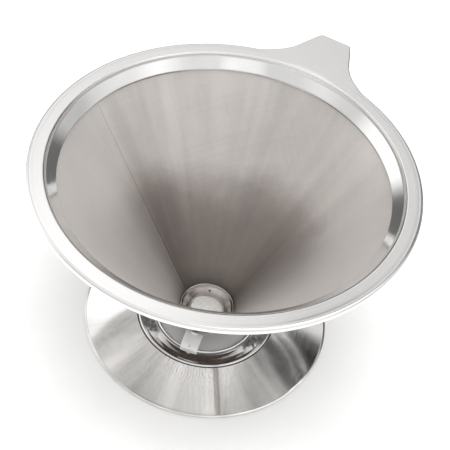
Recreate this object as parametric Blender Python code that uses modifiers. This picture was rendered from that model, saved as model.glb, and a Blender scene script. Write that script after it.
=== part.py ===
"""Pour over dripper: a double-walled steel filter cone welded to a flared stand.

Metres, +Z up. The origin is on the cone's axis, in the plane that the stand rests on.
"""

import math

import bmesh
import bpy
from mathutils import Matrix, Vector

MM = 0.001
GAP = 0.3

# Rim and handle, in millimetres
RIM_RADIUS = 62.5
RIM_TOP = 75.65
RIM_INNER_RADIUS = 56.95
RIM_THICKNESS = 0.8
HANDLE_THICKNESS = 1.0
HANDLE_SINK = 0.02
ROLL_RADIUS = 1.15
HANDLE_AZIMUTH = 90.0
HANDLE_END = 79.9
HANDLE_END_HALF_WIDTH = 6.8
HANDLE_SIDE_SLOPE = 0.3
HANDLE_ROOT_RADIUS = 21.0
HANDLE_CORNER_RADIUS = 1.4
EDGE_BEVEL = 0.2

# Cones: the inside of the mesh is a straight line from TIP to TOP
CONE_TIP = (10.3, 5.39)
CONE_TOP = (53.89, 70.83)
MESH_THICKNESS = 0.4
MESH_LOW_Z = 4.75
MESH_HIGH_Z = 73.3
SUPPORT_OFFSET = 0.8
SUPPORT_THICKNESS = 0.4
SUPPORT_LOW_Z = 3.9
SUPPORT_HIGH_Z = 73.4
SUPPORT_FLANGE_RADIUS = 59.4
SEAM_AZIMUTH = 174.0
SEAM_WIDTH = 1.0
SEAM_THICKNESS = 0.3
SUPPORT_SEAM_AZIMUTH = 315.0
SUPPORT_SEAM_WIDTH = 2.0

# Collar
COLLAR_LOW = (52.93, 70.83)
COLLAR_HIGH = (56.0, 75.0)
COLLAR_THICKNESS = 0.5

# Cup
CUP_OPENING_RADIUS = 9.27
CUP_OPENING_Z = 5.39
CUP_FLOOR_RADIUS = 7.2
CUP_FLOOR_Z = 1.35
CUP_THICKNESS = 0.6
DISC_RADIUS = 6.03
DISC_TOP = 2.41

# Stand
BRIM_RADIUS = 44.27
BRIM_INNER_RADIUS = 23.3
BRIM_THICKNESS = 0.7
NECK_OUTER_RADIUS = 24.9
NECK_HOLE_RADIUS = 17.45
LIP_RADIUS = 0.5

# Arms
ARM_AZIMUTHS = {"arm_front": -79.5, "arm_right": 40.5, "arm_left": 160.5}
ARM_WIDTH = 6.3
ARM_THICKNESS = 0.8
ARM_IN = (12.55, 4.2)
ARM_OUT = (18.75, 2.25)

BIG_STEPS = 64
SMALL_STEPS = 40


def clear_scene():
    for obj in list(bpy.data.objects):
        bpy.data.objects.remove(obj, do_unlink=True)


def collection(name, hidden=False):
    made = bpy.data.collections.new(name)
    bpy.context.scene.collection.children.link(made)
    made.hide_render = hidden
    return made


def material(name, colour, roughness, metallic=1.0):
    made = bpy.data.materials.new(name)
    made.use_nodes = True
    shader = made.node_tree.nodes["Principled BSDF"]
    shader.inputs["Base Color"].default_value = (*colour, 1.0)
    shader.inputs["Roughness"].default_value = roughness
    shader.inputs["Metallic"].default_value = metallic
    made.diffuse_color = (*colour, 1.0)
    return made


def add_object(name, mesh, mat=None, where=None):
    obj = bpy.data.objects.new(name, mesh)
    (where or PARTS).objects.link(obj)
    if mat:
        mesh.materials.append(mat)
    return obj


def revolve(name, profile, mat, steps=BIG_STEPS):
    """A turned piece. The profile runs down its outer side and back up its inner side.

    A profile that starts and ends on the axis stays open there, and any other is closed.
    """
    mesh = bpy.data.meshes.new(name)
    points = [(r * MM, 0.0, z * MM) for r, z in profile]
    on_axis = profile[0][0] == 0 and profile[-1][0] == 0
    edges = [(i, i + 1) for i in range(len(points) - 1)]
    if not on_axis:
        edges.append((len(points) - 1, 0))
    mesh.from_pydata(points, edges, [])
    obj = add_object(name, mesh, mat)
    screw = obj.modifiers.new("Turn", "SCREW")
    screw.axis = "Z"
    screw.angle = math.tau
    screw.steps = steps
    screw.render_steps = steps
    screw.use_merge_vertices = True
    screw.merge_threshold = 0.00001
    screw.use_smooth_shade = False
    return obj


def arc(centre, radius, start, end, count):
    """Points on a circle in the profile plane, with the angles in degrees from +r towards +z."""
    angles = [math.radians(start + (end - start) * i / count) for i in range(count + 1)]
    return [(centre[0] + radius * math.cos(a), centre[1] + radius * math.sin(a)) for a in angles]


def cone_slope():
    return (CONE_TOP[0] - CONE_TIP[0]) / (CONE_TOP[1] - CONE_TIP[1])


def cone_radius(z, offset=0.0):
    """Radius of the cone's inner line at height z, moved outwards by offset along its normal."""
    lean = math.atan(cone_slope())
    return CONE_TIP[0] + (z - CONE_TIP[1]) * cone_slope() + offset / math.cos(lean)


def bar(name, size, bevel, mat):
    """A rectangular bar with its edges bevelled, centred in x and y and with its top at z = 0."""
    mesh = bpy.data.meshes.new(name)
    bm = bmesh.new()
    place = Matrix.Translation((0.0, 0.0, -size[2] * MM / 2))
    place @= Matrix.Diagonal((size[0] * MM, size[1] * MM, size[2] * MM, 1.0))
    bmesh.ops.create_cube(bm, size=1.0, matrix=place)
    bm.to_mesh(mesh)
    bm.free()
    obj = add_object(name, mesh, mat)
    edge = obj.modifiers.new("Edge", "BEVEL")
    edge.width = bevel * MM
    edge.segments = 2
    return obj


def plate_from_outline(name, outline, thickness, where):
    """A flat plate from a 2D outline, centred on z = 0, made a mesh so that it can join another."""
    curve = bpy.data.curves.new(name + "_outline", "CURVE")
    curve.dimensions = "2D"
    curve.fill_mode = "BOTH"
    curve.extrude = (thickness / 2 - EDGE_BEVEL) * MM
    curve.bevel_depth = EDGE_BEVEL * MM
    curve.bevel_resolution = 1
    curve.offset = -EDGE_BEVEL * MM
    spline = curve.splines.new("POLY")
    spline.points.add(len(outline) - 1)
    for point, (x, y) in zip(spline.points, outline):
        point.co = (x * MM, y * MM, 0.0, 1.0)
    spline.use_cyclic_u = True
    drawn = bpy.data.objects.new(name + "_outline", curve)
    bpy.context.scene.collection.objects.link(drawn)
    bpy.context.view_layer.update()
    graph = bpy.context.evaluated_depsgraph_get()
    mesh = bpy.data.meshes.new_from_object(drawn.evaluated_get(graph))
    mesh.name = name
    bpy.data.objects.remove(drawn, do_unlink=True)
    bm = bmesh.new()
    bm.from_mesh(mesh)
    bmesh.ops.remove_doubles(bm, verts=bm.verts, dist=0.001 * MM)
    bmesh.ops.recalc_face_normals(bm, faces=bm.faces)
    bm.to_mesh(mesh)
    bm.free()
    return add_object(name, mesh, where=where)


def handle_outline():
    """Half of the tab, from its end edge to the rim, then mirrored: a taper and a concave root."""
    slope = HANDLE_SIDE_SLOPE
    normal = Vector((slope, 1.0)).normalized()
    on_side = Vector((HANDLE_END, HANDLE_END_HALF_WIDTH))
    reach = RIM_RADIUS + HANDLE_ROOT_RADIUS
    low, high = RIM_RADIUS, reach
    for _ in range(60):
        u = (low + high) / 2
        v = on_side.y + (HANDLE_ROOT_RADIUS - normal.x * (u - on_side.x)) / normal.y
        if math.hypot(u, v) < reach:
            low = u
        else:
            high = u
    centre = Vector((u, v))
    on_line = centre - normal * HANDLE_ROOT_RADIUS
    on_rim = centre * (RIM_RADIUS / reach)
    first = math.degrees(math.atan2(on_line.y - centre.y, on_line.x - centre.x))
    last = math.degrees(math.atan2(on_rim.y - centre.y, on_rim.x - centre.x))
    root = arc(centre, HANDLE_ROOT_RADIUS, first, last - 360 if last > first else last, 14)
    tilt = math.degrees(math.atan2(normal.y, normal.x))
    turn = math.radians(tilt)
    radius = HANDLE_CORNER_RADIUS
    corner_v = on_side.y - radius * (1 + math.cos(turn)) / math.sin(turn)
    corner = arc((HANDLE_END - radius, corner_v), radius, 0, tilt, 5)
    inside = RIM_INNER_RADIUS + 2.0
    half = corner + root + [(inside * math.cos(a), inside * math.sin(a)) for a in (0.36, 0.24, 0.12)]
    mirrored = [(x, -y) for x, y in reversed(half)]
    return half + [(inside, 0.0)] + mirrored


def make_rim_plate():
    roll = (RIM_RADIUS - ROLL_RADIUS, RIM_TOP - ROLL_RADIUS)
    low = RIM_TOP - RIM_THICKNESS
    edge = 0.2
    profile = arc(roll, ROLL_RADIUS, 90, -180, 8)
    profile += [
        (roll[0] - ROLL_RADIUS, low - 0.05),
        (roll[0] - ROLL_RADIUS - 0.15, low),
        (RIM_INNER_RADIUS + edge, low),
        (RIM_INNER_RADIUS, low + edge),
        (RIM_INNER_RADIUS, RIM_TOP - edge),
        (RIM_INNER_RADIUS + edge, RIM_TOP),
    ]
    ring = revolve("rim_plate", profile, SATIN)
    tab = plate_from_outline("handle_blank", handle_outline(), HANDLE_THICKNESS, CUTTERS)
    tab.location = (0.0, 0.0, (RIM_TOP - HANDLE_THICKNESS / 2 - HANDLE_SINK) * MM)
    tab.rotation_euler = (0.0, 0.0, math.radians(HANDLE_AZIMUTH))
    tab.display_type = "WIRE"
    tab.hide_render = True
    join = ring.modifiers.new("Handle", "BOOLEAN")
    join.operation = "UNION"
    join.solver = "EXACT"
    join.object = tab
    return ring


def make_collar():
    """The polished band: a rounded shoulder at the top and a straight cone down to its edge."""
    lean = math.atan2(COLLAR_HIGH[0] - COLLAR_LOW[0], COLLAR_HIGH[1] - COLLAR_LOW[1])
    out = Vector((math.cos(lean), -math.sin(lean))) * COLLAR_THICKNESS
    low = Vector(COLLAR_LOW)
    high = Vector(COLLAR_HIGH)
    profile = [
        (RIM_INNER_RADIUS - GAP, RIM_TOP - 0.1),
        (RIM_INNER_RADIUS - GAP, RIM_TOP - 0.65),
        tuple(high + out + Vector((-0.05, -0.25))),
        tuple(low + out),
        (low.x + out.x * 0.5 - 0.12, low.y + out.y * 0.5 - 0.12),
        tuple(low),
        tuple(high - (high - low) * 0.12),
        (high.x + 0.12, high.y + 0.34),
        (high.x + 0.4, high.y + 0.5),
    ]
    return revolve("filter_collar", profile, POLISHED)


def make_mesh_cone():
    profile = [
        (cone_radius(MESH_HIGH_Z, MESH_THICKNESS), MESH_HIGH_Z),
        (cone_radius(MESH_LOW_Z, MESH_THICKNESS), MESH_LOW_Z),
        (cone_radius(MESH_LOW_Z), MESH_LOW_Z),
        (cone_radius(MESH_HIGH_Z), MESH_HIGH_Z),
    ]
    return revolve("mesh_cone", profile, MESH)


def make_support_cone():
    flange_z = RIM_TOP - RIM_THICKNESS - GAP
    inner = SUPPORT_OFFSET
    outer = SUPPORT_OFFSET + SUPPORT_THICKNESS
    profile = [
        (SUPPORT_FLANGE_RADIUS, flange_z),
        (SUPPORT_FLANGE_RADIUS, flange_z - SUPPORT_THICKNESS),
        (cone_radius(SUPPORT_HIGH_Z, outer) + 0.5, flange_z - SUPPORT_THICKNESS),
        (cone_radius(SUPPORT_HIGH_Z - 0.5, outer), SUPPORT_HIGH_Z - 0.5),
        (cone_radius(SUPPORT_LOW_Z, outer), SUPPORT_LOW_Z),
        (cone_radius(SUPPORT_LOW_Z, inner), SUPPORT_LOW_Z),
        (cone_radius(SUPPORT_HIGH_Z, inner), SUPPORT_HIGH_Z),
        (cone_radius(SUPPORT_HIGH_Z, inner) + 0.35, flange_z),
    ]
    return revolve("support_cone", profile, PERFORATED)


def make_strip(name, azimuth, width, offset, thickness, low_z, high_z, mat):
    """A straight strip that lies along the cone, offset from its inner line."""
    lean = math.atan(cone_slope())
    low = Vector((cone_radius(low_z, offset), low_z))
    high = Vector((cone_radius(high_z, offset), high_z))
    length = (high - low).length
    middle = (low + high) / 2
    obj = bar(name, (length, width, thickness), thickness * 0.3, mat)
    along = Vector((math.sin(lean), 0.0, math.cos(lean)))
    out = Vector((math.cos(lean), 0.0, -math.sin(lean)))
    side = out.cross(along)
    place = Matrix((along, side, out)).transposed().to_4x4()
    place.translation = (middle.x * MM, 0.0, middle.y * MM)
    obj.matrix_world = Matrix.Rotation(math.radians(azimuth), 4, "Z") @ place
    return obj


def make_clamp_ring():
    """The ring under the rim: a flat flange below the cone's flange and a skirt down its side."""
    top = RIM_TOP - RIM_THICKNESS - GAP - SUPPORT_THICKNESS - GAP
    skirt_low = top - 6.0
    wall = 0.6
    near = SUPPORT_OFFSET + SUPPORT_THICKNESS + GAP
    profile = [
        (SUPPORT_FLANGE_RADIUS - 0.2, top),
        (SUPPORT_FLANGE_RADIUS, top - 0.2),
        (SUPPORT_FLANGE_RADIUS, top - wall),
        (cone_radius(top - 1.4, near + wall) + 0.25, top - wall - 0.15),
        (cone_radius(top - 1.9, near + wall), top - 1.9),
        (cone_radius(skirt_low, near + wall), skirt_low),
        (cone_radius(skirt_low, near + wall) - 0.4, skirt_low - 0.25),
        (cone_radius(skirt_low, near), skirt_low),
        (cone_radius(top - 1.2, near), top - 1.2),
        (cone_radius(top - 0.6, near) + 0.35, top),
    ]
    return revolve("clamp_ring", profile, POLISHED)


def make_cup():
    """A spun cup: its lip folds over the mesh, and its wall narrows to a flat floor."""
    lip_r = CUP_OPENING_RADIUS
    lip_z = CUP_OPENING_Z
    floor = CUP_FLOOR_Z
    bottom = floor - CUP_THICKNESS
    profile = [
        (0.0, bottom),
        (CUP_FLOOR_RADIUS - 0.4, bottom),
        (CUP_FLOOR_RADIUS + 0.45, bottom + 0.35),
        (lip_r + 0.15, lip_z - 1.55),
        (lip_r + 0.35, lip_z - 0.75),
        (lip_r + 0.5, lip_z - 0.15),
        (lip_r + 0.25, lip_z + 0.1),
        (lip_r, lip_z),
        (lip_r - 0.35, lip_z - 1.3),
        (CUP_FLOOR_RADIUS + 0.15, floor + 0.7),
        (CUP_FLOOR_RADIUS - 0.35, floor + 0.15),
        (CUP_FLOOR_RADIUS - 0.8, floor),
        (0.0, floor),
    ]
    return revolve("bottom_cup", profile[::-1], POLISHED, SMALL_STEPS)


def make_disc():
    low = CUP_FLOOR_Z + GAP
    profile = [
        (0.0, DISC_TOP + 0.06),
        (DISC_RADIUS - 1.0, DISC_TOP),
        (DISC_RADIUS - 0.3, DISC_TOP - 0.04),
        (DISC_RADIUS, DISC_TOP - 0.3),
        (DISC_RADIUS, low + 0.1),
        (DISC_RADIUS - 0.1, low),
        (0.0, low),
    ]
    return revolve("cup_disc", profile, BRUSHED, SMALL_STEPS)


def make_ferrule():
    """The ring that grips the lower ends of both cones from the outside."""
    near = SUPPORT_OFFSET + SUPPORT_THICKNESS + GAP
    high = 7.6
    low = 3.2
    wall = 0.4
    inner_low = cone_radius(MESH_LOW_Z, -0.2) - 0.1
    profile = [
        (cone_radius(high, near) + 0.25, high + 0.05),
        (cone_radius(high, near + wall), high - 0.25),
        (cone_radius(low + 0.8, near + wall), low + 0.8),
        (cone_radius(low + 0.8, near + wall) - 0.3, low + 0.2),
        (cone_radius(low + 0.8, near + wall) - 0.75, low),
        (inner_low + 0.5, low),
        (inner_low + 0.35, low + 0.35),
        (cone_radius(SUPPORT_LOW_Z, near) - 0.3, low + 0.4),
        (cone_radius(SUPPORT_LOW_Z, near), SUPPORT_LOW_Z),
        (cone_radius(high, near), high - 0.1),
    ]
    return revolve("tip_ferrule", profile, POLISHED, SMALL_STEPS)


def make_neck_ring():
    """The polished ring: a round bead outside, then a shallow dish down to the hole."""
    thick = 0.6
    bead = (NECK_OUTER_RADIUS - 0.55, 1.75)
    profile = arc(bead, 0.55, 100, -60, 4)
    profile += [
        (bead[0] - 0.9, bead[1] - 0.62),
        (21.5, 0.72),
        (19.35, 0.42),
        (18.85, 0.42),
        (18.75, 0.6),
        (18.85, 0.42 + thick),
        (19.35, 0.44 + thick),
        (21.5, 0.76 + thick),
        (23.2, 1.2 + thick),
    ]
    return revolve("neck_ring", profile, POLISHED)


def make_neck_lip():
    centre = (NECK_HOLE_RADIUS + LIP_RADIUS, 0.95)
    profile = arc(centre, LIP_RADIUS, 90, -210, 5)
    return revolve("neck_lip", profile, POLISHED)


def make_brim():
    """The brushed foot: a shallow cone that rests on its outer hem and seats the neck ring."""
    hem = 0.5
    profile = [
        (25.35, 2.12),
        (32.0, 1.95),
        (39.0, 1.45),
        (42.6, 1.08),
        (BRIM_RADIUS - 0.55, 0.92),
        (BRIM_RADIUS - 0.15, 0.75),
        (BRIM_RADIUS, 0.45),
        (BRIM_RADIUS - 0.12, 0.15),
        (BRIM_RADIUS - 0.4, 0.0),
        (BRIM_RADIUS - 1.4, 0.0),
        (BRIM_RADIUS - 1.7, 0.35),
        (39.0, 1.45 - BRIM_THICKNESS),
        (32.0, 1.95 - BRIM_THICKNESS),
        (25.9, 2.1 - BRIM_THICKNESS),
        (25.2, hem),
        (24.4, 0.28),
        (BRIM_INNER_RADIUS, 0.02),
        (BRIM_INNER_RADIUS, 0.3),
        (24.4, 0.62),
        (25.2, 1.3),
    ]
    return revolve("base_brim", profile, BRUSHED)


def make_arms():
    lean = math.atan2(ARM_OUT[1] - ARM_IN[1], ARM_OUT[0] - ARM_IN[0])
    length = math.hypot(ARM_OUT[0] - ARM_IN[0], ARM_OUT[1] - ARM_IN[1])
    middle = ((ARM_OUT[0] + ARM_IN[0]) / 2, (ARM_OUT[1] + ARM_IN[1]) / 2)
    for name, azimuth in ARM_AZIMUTHS.items():
        arm = bar(name, (length, ARM_WIDTH, ARM_THICKNESS), ARM_THICKNESS * 0.3, ARM)
        place = Matrix.Rotation(-lean, 4, "Y")
        place.translation = (middle[0] * MM, 0.0, middle[1] * MM)
        arm.matrix_world = Matrix.Rotation(math.radians(azimuth), 4, "Z") @ place


def make_welds(ending, radius, z, size):
    """One flattened nugget at the same place on each arm. The nuggets share a mesh."""
    mesh = bpy.data.meshes.new("weld" + ending)
    bm = bmesh.new()
    shape = Matrix.Diagonal((size[0] * MM, size[1] * MM, size[2] * MM, 1.0))
    bmesh.ops.create_icosphere(bm, subdivisions=1, radius=1.0, matrix=shape)
    bm.to_mesh(mesh)
    bm.free()
    mesh.materials.append(WELD)
    for name, azimuth in ARM_AZIMUTHS.items():
        nugget = add_object(name + ending, mesh)
        place = Matrix.Rotation(math.radians(azimuth), 4, "Z")
        nugget.matrix_world = place @ Matrix.Translation((radius * MM, 0.0, z * MM))


clear_scene()
PARTS = collection("pour_over_dripper")
CUTTERS = collection("cutters", hidden=True)

SATIN = material("satin_steel", (0.78, 0.78, 0.77), 0.32)
POLISHED = material("polished_steel", (0.82, 0.82, 0.82), 0.06)
BRUSHED = material("brushed_steel", (0.62, 0.61, 0.59), 0.3)
MESH = material("woven_mesh_steel", (0.5, 0.46, 0.44), 0.5)
PERFORATED = material("perforated_steel", (0.55, 0.52, 0.5), 0.4)
ARM = material("arm_steel", (0.74, 0.73, 0.71), 0.22)
WELD = material("weld_steel", (0.7, 0.68, 0.66), 0.35)

make_rim_plate()
make_collar()
make_mesh_cone()
make_strip(
    "mesh_seam",
    SEAM_AZIMUTH,
    SEAM_WIDTH,
    -GAP,
    SEAM_THICKNESS,
    6.6,
    69.9,
    MESH,
)
make_support_cone()
make_strip(
    "support_seam",
    SUPPORT_SEAM_AZIMUTH,
    SUPPORT_SEAM_WIDTH,
    SUPPORT_OFFSET + SUPPORT_THICKNESS + GAP + SEAM_THICKNESS,
    SEAM_THICKNESS,
    9.0,
    66.5,
    PERFORATED,
)
make_clamp_ring()
make_cup()
make_disc()
make_ferrule()
make_neck_ring()
make_neck_lip()
make_brim()
make_arms()
make_welds("_cup_weld", ARM_IN[0] + 0.75, ARM_IN[1] + 0.55, (0.55, 1.3, 0.4))
make_welds("_lip_weld", ARM_OUT[0] - 1.0, ARM_OUT[1] + 0.75, (0.6, 0.6, 0.3))
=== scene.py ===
"""Looks of the pour over dripper: fine turned shells, woven mesh, perforated sheet and studio light."""

import math

import bmesh
import bpy
from mathutils import Matrix, Vector, noise


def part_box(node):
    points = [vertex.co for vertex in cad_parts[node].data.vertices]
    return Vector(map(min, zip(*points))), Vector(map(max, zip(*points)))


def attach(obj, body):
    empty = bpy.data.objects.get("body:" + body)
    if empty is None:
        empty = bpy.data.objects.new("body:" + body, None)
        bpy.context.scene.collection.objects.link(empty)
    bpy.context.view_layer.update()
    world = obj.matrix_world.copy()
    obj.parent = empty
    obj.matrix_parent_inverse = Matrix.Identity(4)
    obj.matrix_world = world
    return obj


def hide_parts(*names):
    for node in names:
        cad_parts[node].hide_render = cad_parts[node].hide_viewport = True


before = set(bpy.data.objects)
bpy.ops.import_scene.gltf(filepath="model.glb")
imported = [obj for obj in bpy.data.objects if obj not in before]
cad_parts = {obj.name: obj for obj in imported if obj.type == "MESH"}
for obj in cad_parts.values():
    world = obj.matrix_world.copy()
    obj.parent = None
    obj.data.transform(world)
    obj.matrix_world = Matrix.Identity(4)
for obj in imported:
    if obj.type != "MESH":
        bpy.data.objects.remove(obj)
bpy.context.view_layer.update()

MM = 0.001


def lowest(node, axis=2):
    """A node's lowest place along an axis, in millimetres."""
    return round(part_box(node)[0][axis] / MM, 2)


def highest(node, axis=2):
    """A node's highest place along an axis, in millimetres."""
    return round(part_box(node)[1][axis] / MM, 2)


def azimuth_of(node):
    """The direction of a node's middle from the axis, in degrees."""
    near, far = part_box(node)
    middle = (near + far) / 2
    return round(math.degrees(math.atan2(middle.y, middle.x)), 1)


# Sizes taken from the frame, in millimetres
GAP = 0.3
CROWN = 0.06
CUP_LIP = (0.5, 0.1)
RIM_TOP = highest("rim_plate")
HANDLE_END = highest("rim_plate", 1)
MESH_LOW_Z = lowest("mesh_cone")
MESH_HIGH_Z = highest("mesh_cone")
SUPPORT_LOW_Z = lowest("support_cone")
SUPPORT_FLANGE_RADIUS = highest("support_cone", 0)
CUP_OPENING = (highest("bottom_cup", 0) - CUP_LIP[0], highest("bottom_cup") - CUP_LIP[1])
DISC_RADIUS = highest("cup_disc", 0)
DISC_TOP = highest("cup_disc") - CROWN
BRIM_RADIUS = highest("base_brim", 0)
NECK_LOW_Z = lowest("neck_ring")
LIP_LOW_Z = lowest("neck_lip")
FERRULE_LOW_Z = lowest("tip_ferrule")
FERRULE_HIGH_Z = highest("tip_ferrule")
SEAM_AZIMUTH = azimuth_of("mesh_seam") % 360
SUPPORT_SEAM_AZIMUTH = azimuth_of("support_seam") % 360
ARM_AZIMUTHS = {name: azimuth_of(name + "_cup_weld") for name in ("arm_front", "arm_right", "arm_left")}

# Driving sizes that the boxes don't show, in millimetres
RIM_RADIUS = 62.5
RIM_INNER_RADIUS = 56.95
RIM_THICKNESS = 0.8
RIM_EDGE = 0.22
ROLL_END = 0.26
ROLL_RADIUS = 1.15
HANDLE_THICKNESS = 1.0
HANDLE_END_HALF_WIDTH = 6.8
HANDLE_SIDE_SLOPE = 0.3
HANDLE_ROOT_RADIUS = 21.0
HANDLE_CORNER_RADIUS = 1.4
CONE_TIP = (10.3, 5.39)
CONE_TOP = (53.89, 70.83)
MESH_THICKNESS = 0.4
SUPPORT_OFFSET = 0.8
SUPPORT_THICKNESS = 0.4
SUPPORT_HIGH_Z = 73.4
SUPPORT_BEAD = (1.45, 0.3)
SUPPORT_SEAM_ENDS = (9.0, 66.5)
MESH_SEAM_ENDS = (6.4, 70.3)
CLAMP_SKIRT = 6.0
CLAMP_THICKNESS = 0.6
FERRULE_THICKNESS = 0.4
COLLAR_LOW = (52.93, 70.83)
COLLAR_HIGH = (56.0, 75.0)
COLLAR_THICKNESS = 0.5
CUP_FLOOR_RADIUS = 7.2
CUP_FLOOR_Z = 1.35
CUP_THICKNESS = 0.6
BRIM_INNER_RADIUS = 23.3
BRIM_THICKNESS = 0.7
NECK_OUTER_RADIUS = 24.9
NECK_HOLE_RADIUS = 17.45
NECK_THICKNESS = 0.6
NECK_BEAD_RADIUS = 0.55
NECK_BEAD_Z = 1.75
LIP_RADIUS = 0.5
ARM_WIDTH = 6.3
ARM_THICKNESS = 0.8
ARM_IN = (12.55, 4.2)
ARM_OUT = (18.75, 2.25)
ARM_BEND_START = 0.66
ARM_BEND_DROP = 0.75
ARM_EDGE = 0.22
ARM_CROWN = 0.16
CUP_WELD_SIZE = (0.75, 1.3, 0.5)
LIP_WELD_SIZE = (0.6, 0.6, 0.18)
DOT_AZIMUTH = 112.0
DOT_SIZE = (0.25, 0.45, 0.40)
CUT_EDGE = -0.31
HOLE_PITCH = 2.15
HOLE_RADIUS = 0.42
HOLE_SIDES = 8
HOLES_LOW_Z = 10.2
HOLES_HIGH_Z = 67.0
STAIN_AND_SHADE_AZIMUTH = 118.0

STEPS = 256
SLOPE = (CONE_TOP[0] - CONE_TIP[0]) / (CONE_TOP[1] - CONE_TIP[1])
LEAN = math.atan(SLOPE)
APEX_Z = CONE_TIP[1] - CONE_TIP[0] / SLOPE

# The camera, solved from the circles of the rim, the mesh, the neck and the foot
FOCAL_PIXELS = 1034.75
CAMERA_TILT = math.radians(47.902)
CAMERA_ROLL = math.radians(-8.978)
CAMERA_PLACE = Vector((0.03054, -3.68552, 4.86918)) * RIM_RADIUS * MM
SENSOR_WIDTH = 36.0
PICTURE_PIXELS = 450
TURN = math.radians(23.0)

# The floor and its lamp
FLOOR_HALF = 3.0
FLOOR_DROP = 0.0002
FLOOR_LAMP = 3.0
FLOOR_LAMP_ANGLE = math.radians(70)

# The room's light. Levels of brightness by elevation, then soft patches: azimuth (from the picture's
# right, anticlockwise), elevation, inner and outer half-angles, and the change of brightness.
DARKEST = 0.02
ROOM_LEVELS = [(0, 0.60), (30, 0.60), (60, 0.60), (90, 0.95)]
PATCHES = [
    (270, 10, 8, 40, 0.30),
    (165, 18, 12, 30, 0.44),
    (325, 28, 8, 24, 0.32),
    (145, 38, 12, 30, 0.35),
    (185, 56, 8, 26, 0.20),
    (230, 54, 8, 26, 0.20),
    (310, 54, 8, 28, 0.30),
    (0, 54, 10, 30, 0.38),
    (108, 56, 5, 14, 0.25),
    (95, 47, 6, 18, 0.30),
    (104, 52, 4, 8, 0.30),
    (68, 46, 4, 10, 0.30),
    (270, 50, 6, 14, 0.36),
    (25, 70, 10, 24, 0.70),
    (8, 19, 6, 16, 0.22),
]
# Soft rectangles: azimuth, elevation, half-width, half-height, softness, and the change of brightness
PANELS = [
    (64, 56.0, 18, 3.8, 1.0, -1.5),
    (52, 36, 18, 9, 4.0, -1.0),
    (121, 42.5, 4, 2.5, 1.5, -1.2),
    (87, 2, 67, 15, 4, -0.44),
    (200, 0, 45, 9, 5, 0.42),
    (320, 0, 40, 8, 5, 0.40),
    (270, 0, 30, 10, 5, 0.22),
]


def new_mesh(name, verts, faces, mat, smooth=True, sharp=40):
    mesh = bpy.data.meshes.new(name)
    mesh.from_pydata([tuple(c * MM for c in v) for v in verts], [], faces)
    mesh.update()
    obj = bpy.data.objects.new(name, mesh)
    bpy.context.scene.collection.objects.link(obj)
    if mat:
        mesh.materials.append(mat)
    if smooth:
        mesh.shade_smooth()
        if sharp:
            mesh.set_sharp_from_angle(angle=math.radians(sharp))
    return obj


def cone_radius(z, offset=0.0):
    return CONE_TIP[0] + (z - CONE_TIP[1]) * SLOPE + offset / math.cos(LEAN)


def arc(centre, radius, start, end, count):
    angles = [math.radians(start + (end - start) * i / count) for i in range(count + 1)]
    return [(centre[0] + radius * math.cos(a), centre[1] + radius * math.sin(a)) for a in angles]


def fillet(points, radius, closed=True, count=4):
    """Rounds each corner of a profile. A point may carry its own radius as a third number."""
    out = []
    total = len(points)
    for i, point in enumerate(points):
        r = point[2] if len(point) > 2 else radius
        here = Vector(point[:2])
        if not closed and i in (0, total - 1):
            out.append(tuple(here))
            continue
        back = Vector(points[i - 1][:2]) - here
        ahead = Vector(points[(i + 1) % total][:2]) - here
        angle = back.angle(ahead)
        if r <= 0 or angle > math.radians(176):
            out.append(tuple(here))
            continue
        reach = min(r / math.tan(angle / 2), back.length * 0.48, ahead.length * 0.48)
        start = here + back.normalized() * reach
        end = here + ahead.normalized() * reach
        for k in range(count + 1):
            t = k / count
            out.append(tuple(start * (1 - t) ** 2 + here * 2 * t * (1 - t) + end * t * t))
    return out


def lathe(name, profile, mat, steps=STEPS, sharp=40):
    """A turned shell. Its profile runs down the outer side and up the inner side."""
    on_axis = profile[0][0] == 0 and profile[-1][0] == 0
    count = len(profile)
    verts = []
    rows = []
    for r, z in profile:
        if r == 0:
            rows.append([len(verts)] * steps)
            verts.append((0.0, 0.0, z))
            continue
        rows.append([len(verts) + i for i in range(steps)])
        for i in range(steps):
            a = math.tau * i / steps
            verts.append((r * math.cos(a), r * math.sin(a), z))
    faces = []
    pairs = [(k, k + 1) for k in range(count - 1)]
    if not on_axis:
        pairs.append((count - 1, 0))
    for k, n in pairs:
        for i in range(steps):
            j = (i + 1) % steps
            loop = [rows[k][i], rows[n][i], rows[n][j], rows[k][j]]
            face = []
            for v in loop:
                if v not in face:
                    face.append(v)
            faces.append(face)
    return new_mesh(name, verts, faces, mat, sharp=sharp)


# ---------------------------------------------------------------- materials


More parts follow.
